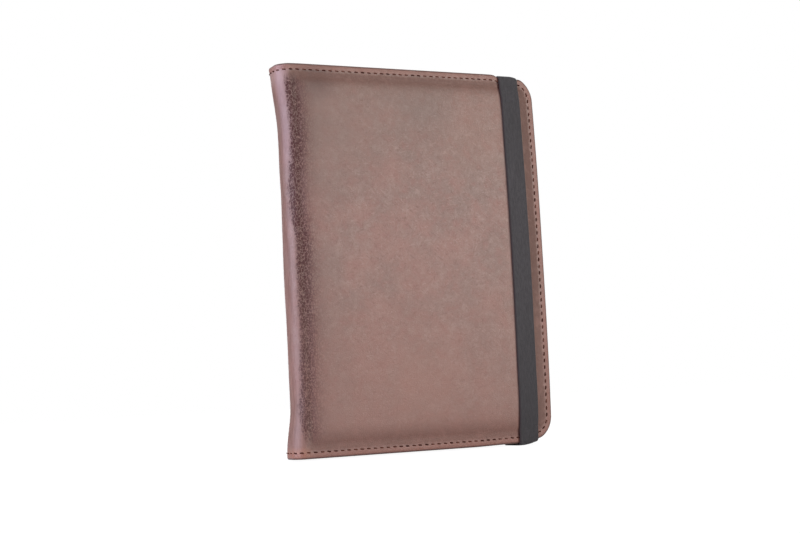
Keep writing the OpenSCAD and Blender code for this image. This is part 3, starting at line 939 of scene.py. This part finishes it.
def worn_cover(m, rest, mottle):
    """Tones of a cover where it is handled, creased, waxed and marked, with painted shade towards
    its top, in the crease, beside the band, on the rim and on the spine's back, and a painted
    reflection on the spine. Gives how matt that makes it, and the crackle's height."""
    x, y, z = (m.axis(rest, letter) for letter in "XYZ")
    rim, fold = m.attribute("rim_d"), m.attribute("fold_x")
    ends = m.times(m.step(z, FOOT + 3, FOOT + 16), m.step(z, TOP - 4, TOP - 12))
    low = m.step(z, MID_Z + 50, FOOT + 30)
    on_cover = m.step(fold, 5, 9)
    ragged = m.times(m.minus(m.noise(rest, 0.5, 4, 0.7), 0.5), RAGGED)
    fold, rim_ragged = m.plus(fold, ragged), m.plus(rim, ragged)
    m.tint(WARM, z, MID_Z + 40, FOOT + 15, 0.5)
    # Painted shade: the upper part of the cover is darkened.
    m.tint(TOP_SHADE, z, MID_Z + 20, TOP - 15, 0.25)
    m.tint(HANDLED, fold, 44, 16, 0.2)
    spine_tones(m, rest, ends, m.minus(1, on_cover))
    crease, crazed, crackle = crease_masks(m, rest, fold, ends, low)
    waxed = m.times(m.step(rim_ragged, *WAX_OUTER),
                    m.step(m.minus(rim_ragged, m.times(low, WAX_LOWER)), *WAX_INNER),
                    m.step(mottle, 0.7, 0.4, 0.5, 0.9), m.step(low, 0, 1, 1, 0.62),
                    m.step(x, BAND_X - 8, BAND_X + 6, 1, 1.5), on_cover)
    for mark, (shade, reach, amount) in MARKS.items():
        away = m.add("VectorMath", "Value", {0: rest, 1: tuple(MARK_PLACES[mark])},
                     operation="DISTANCE")
        m.tint(shade, m.plus(away, m.times(ragged, reach / 8)), reach, 0, amount)
    for mask, shade in (waxed, DARK_WAX), (crazed, CRACKS_AND_SHADE), (crease, CRACKS_AND_SHADE):
        m.lay(mask, shade)
    # Painted shadow: a thin dark line on the front leather along the band's left edge.
    beside = m.maths("ABSOLUTE", m.minus(x, BAND_X - BAND_W / 2 - 0.2))
    in_front = m.step(y, 3 - HALF_T, 1 - HALF_T)
    m.tint(CRACKS_AND_SHADE, beside, 1.1, 0.2, 0.75, in_front)
    m.tint(HEM, rim, 3.7, 3, 0.45)
    # Painted shade: a thin dark line along the rounded rim.
    m.tint(RIM_SHADE, rim, 0.9, 0.1, 0.7)
    matt = m.maths("MAXIMUM", m.times(crease, 0.28), m.times(waxed, 0.1))
    return matt, m.times(crackle, crease, 0.2)


def leather_material(name, covers=True):
    """Mottled, flecked and pebbled leather, with worn strokes across it."""
    m = Shader(name, TAUPE)
    rest = m.attribute("rest", "Vector")
    cloud, mottle, fleck = (m.noise(rest, *kind) for kind in (CLOUD, MOTTLE, FLECK))
    pebble = m.cells(rest, PEBBLE, 0.9)
    m.tint(TAN, cloud, 0.3, 0.7)
    m.tint(RUST, mottle, 0.5, 0.7, 0.42)
    m.tint(PALE, mottle, 0.5, 0.3, 0.35)
    m.tint(DARK_WAX, fleck, 0.46, 0.26, 0.24)
    m.tint(PALE, fleck, 0.56, 0.76, 0.16)
    m.tint(DARK_WAX, pebble, 0.1, 0, 0.12)
    for turn in STROKE_TURNS:
        turned = m.add("VectorRotate", "Vector", {
            "Vector": rest, "Axis": (0, 1, 0), "Angle": turn})
        stroke = m.noise(m.stretched(turned, STROKE_SCALES), 1, 2, 0.5, 1.1)
        m.tint(PALE, stroke, 0.58, 0.74, 0.42)
        m.tint(DARK_WAX, stroke, 0.42, 0.26, 0.4)
    rough = m.step(mottle, 0.3, 0.7, 0.42, 0.52)
    height = m.plus(m.times(m.step(pebble, 0, 0.16), 0.35), m.times(fleck, 0.6))
    if covers:
        matt, crackled = worn_cover(m, rest, mottle)
        rough, height = m.plus(rough, matt), m.plus(height, crackled)
    return m.finish(Roughness=rough, Coat_Weight=0.1, Coat_Roughness=0.38,
                    Specular_IOR_Level=0.56, Normal=m.bump(height, 0.16, 0.7))


def woven_material(name, colour, dark, pitch, depth):
    """Plain woven cloth, its threads along X and Z."""
    m = Shader(name, dark)
    rest = m.attribute("rest", "Vector")
    weave = m.times(*(m.maths("SINE", m.times(m.axis(rest, letter), math.pi / pitch))
                      for letter in "XZ"))
    m.tint(colour, weave, -1, 1)
    m.tint(dark, m.noise(rest, 0.08, 3), 0.3, 0.7, 0.25)
    return m.finish(Roughness=0.85, Normal=m.bump(weave, depth, 0.6))


def fibre_material(name, colour, dark, scales, roughness=0.8, amount=0.5):
    """Card, board, foam, tape and linen thread: soft streaks, with scales per mm."""
    m = Shader(name, colour)
    streaks = m.noise(m.stretched(m.place_mm(), scales), 1, 4, 0.6)
    m.tint(dark, streaks, 0.3, 0.72, amount)
    return m.finish(Roughness=roughness, Normal=m.bump(streaks, 0.05, 0.4))


CREAM, STRAW, SIGNATURE_GAP_SHADE = hue(236, 228, 210), hue(196, 186, 164), hue(140, 128, 108)


def paper_material(name):
    """Cream paper whose cut edges show the leaves, with painted shade in the gaps between the
    signatures.
    """
    m = Shader(name, CREAM)
    place = m.place_mm()
    leaf = m.noise(m.stretched(place, (0.001, 2.4, 0.001)), 1, 3, 0.7)
    fibre = m.noise(place, 0.7, 4, 0.6)
    thick = SIGNATURE_HIGH[1] - SIGNATURE_LOW[1]
    turn = m.times(m.minus(m.axis(place, "Y"), SIGNATURE_LOW[1]), math.pi / thick)
    between = m.maths("ABSOLUTE", m.maths("SINE", turn))
    m.tint(STRAW, leaf, 0.35, 0.65, 0.45)
    m.tint(STRAW, fibre, 0.4, 0.7, 0.12)
    # Painted shade in the gaps between the signatures.
    m.tint(SIGNATURE_GAP_SHADE, between, 0.35, 0.05, 0.5)
    return m.finish(Roughness=0.9, Normal=m.bump(leaf, 0.05, 0.4))


def thread_material(name):
    """Waxed thread, some stitches paler than others, with painted shade where they dive into
    their needle holes.
    """
    m = Shader(name, hue(52, 20, 13))
    twist = m.noise(m.attribute("rest", "Vector"), 4, 3, 0.6)
    m.lay(m.attribute("tone"), hue(98, 54, 41))
    m.tint(hue(42, 15, 10), twist, 0.35, 0.7, 0.5)
    return m.finish(Roughness=0.85, Specular_IOR_Level=0.15, Normal=m.bump(twist, 0.05, 0.4))


CHARCOAL, SOOT, FUZZ = hue(58, 55, 57), hue(36, 34, 35), hue(82, 78, 80)
SELVAGE, BAND_EDGE_SHADE, PICK = hue(40, 36, 37), hue(34, 22, 24), 0.62


def band_material():
    """Ribbed, woven elastic with darker ends and painted shade along its left edge."""
    m = Shader("woven_elastic", SOOT)
    rest, across, run = m.attribute("rest", "Vector"), m.attribute("across"), m.attribute("run")
    weave = m.times(m.maths("COSINE", m.times(across, 2 * math.pi * BAND_RIBS / BAND_W)),
                    m.maths("SINE", m.times(run, 2 * math.pi / PICK)))
    lint = m.noise(m.stretched(rest, (1.6, 1.6, 0.35)), 0.8, 4, 0.7)
    half, z = BAND_W / 2, m.axis(rest, "Z")
    m.tint(CHARCOAL, lint, 0.3, 0.7)
    m.tint(FUZZ, weave, 0.2, 1, 0.35)
    m.tint(SELVAGE, m.maths("ABSOLUTE", across), half - 1.2, half - 0.2, 0.7)
    m.tint(SOOT, z, MID_Z, FOOT, 0.6)
    m.tint(SOOT, z, TOP - 70, TOP - 20, 0.35)
    # Painted shade along the band's left edge, where it meets the leather.
    m.tint(BAND_EDGE_SHADE, across, 1 - half, 0.3 - half, 0.85)
    return m.finish(Roughness=0.72, Sheen_Weight=0.12, Normal=m.bump(weave, 0.08, 0.6))


def band_end_material():
    """Plain elastic of the sewn ends."""
    m = Shader("woven_elastic_end", SOOT)
    return m.finish(Roughness=0.8, Normal=m.bump(m.noise(m.place_mm(), 1.5), 0.05, 0.5))


def tree_of(piece):
    return BVHTree.FromPolygons([v.co for v in piece.data.vertices],
                                [tuple(f.vertices) for f in piece.data.polygons])


COVER_TREE = tree_of(COVER["front"]["skin"])
MARK_PLACES = {mark: surface_at(mark, COVER_TREE) for mark in MARKS}
PART_MATERIALS = {
    "skin": leather_material("waxed_leather"), "sleeve": leather_material("pocket_leather", False),
    "liner": woven_material("lining_cloth", hue(88, 66, 56), hue(58, 42, 36), 0.5, 0.08),
    "board": fibre_material("greyboard", hue(150, 142, 130), hue(110, 102, 92), (0.5, 2, 0.5), 0.9),
    "foam": fibre_material("foam", hue(196, 194, 188), hue(150, 148, 142), (1.5, 1.5, 1.5), 0.95),
    "card": fibre_material("card", hue(188, 158, 120), hue(156, 125, 90), (1.6, 3, 1.6), 0.85, 0.4),
    "seam": thread_material("dark_thread")}
CAD_MATERIALS = {
    "notebook_spine_tape": fibre_material("book_tape", hue(40, 40, 42), hue(24, 24, 26), (2, 2, 2)),
    "binding_thread": fibre_material("linen_thread", hue(225, 215, 195), hue(180, 168, 145),
                                     (3, 3, 3)),
    "band_ends": band_end_material()}
PAPER = paper_material("paper")
for parts in COVER.values():
    for part, piece in parts.items():
        piece.data.materials.append(PART_MATERIALS[part])
BAND.data.materials.append(band_material())
for name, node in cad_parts.items():
    if not node.hide_render:
        node.data.materials.clear()
        node.data.materials.append(CAD_MATERIALS.get(name, PAPER))

# ---------- light and floor ----------

CENTRE = (0, 0, 0.11)


def area_light(name, place, size, power, colour=(1, 1, 1)):
    data = bpy.data.lights.new(name, "AREA")
    data.shape, data.size, data.size_y = "RECTANGLE", size[0], size[1]
    data.energy, data.color = power, colour
    lamp = add_object(name, data)
    lamp.location = place
    lamp.rotation_euler = (Vector(CENTRE) - Vector(place)).to_track_quat("-Z", "Y").to_euler()


area_light("left_softbox", (-1.22, -0.22, 0.42), (1.35, 0.9), 21, (0.84, 0.80, 1))
area_light("front_softbox", (0.85, -1.30, 0.32), (1, 1.3), 18, (1, 0.96, 0.92))
area_light("top_softbox", (0.1, -0.5, 1.6), (1.2, 1.2), 3.5)
area_light("back_softbox", (0.5, 1.4, 0.4), (1.2, 1.2), 14)

WHITE, WORLD_LIGHT = (1, 1, 1), 0.3
FLOOR_GREY, FLOOR_GLOW, FLOOR_FADE = (0.95, 0.95, 0.95), 1.08, (0.1, 0.35, 0.86, 1)


def white_world():
    m = Shader("world", blocks=bpy.data.worlds)
    return m.show(*(m.add("Background", 0, {"Color": WHITE, "Strength": strength})
                    for strength in (WORLD_LIGHT, 1)))


def floor_material():
    """White floor that keeps a faint shadow near the object and is plain white further off."""
    m = Shader("floor")
    distance = m.add("VectorMath", "Value", {0: m.add("TexCoord", "Object", {})},
                     operation="LENGTH")
    glow = m.add("Emission", 0, {"Color": WHITE, "Strength": FLOOR_GLOW})
    lit = m.add("BsdfDiffuse", 0, {"Color": FLOOR_GREY})
    return m.show(lit, m.add("MixShader", 0, {0: m.step(distance, *FLOOR_FADE), 1: lit, 2: glow}))


SCENE.world = white_world()
FLOOR_HALF = 6000
floor = make_mesh("floor", np.array([(-1, -1, 0), (1, -1, 0), (1, 1, 0), (-1, 1, 0)]) * FLOOR_HALF,
                  [[[0, 1, 2, 3]]])
floor.data.materials.append(floor_material())

SCENE.view_settings.view_transform = "Standard"
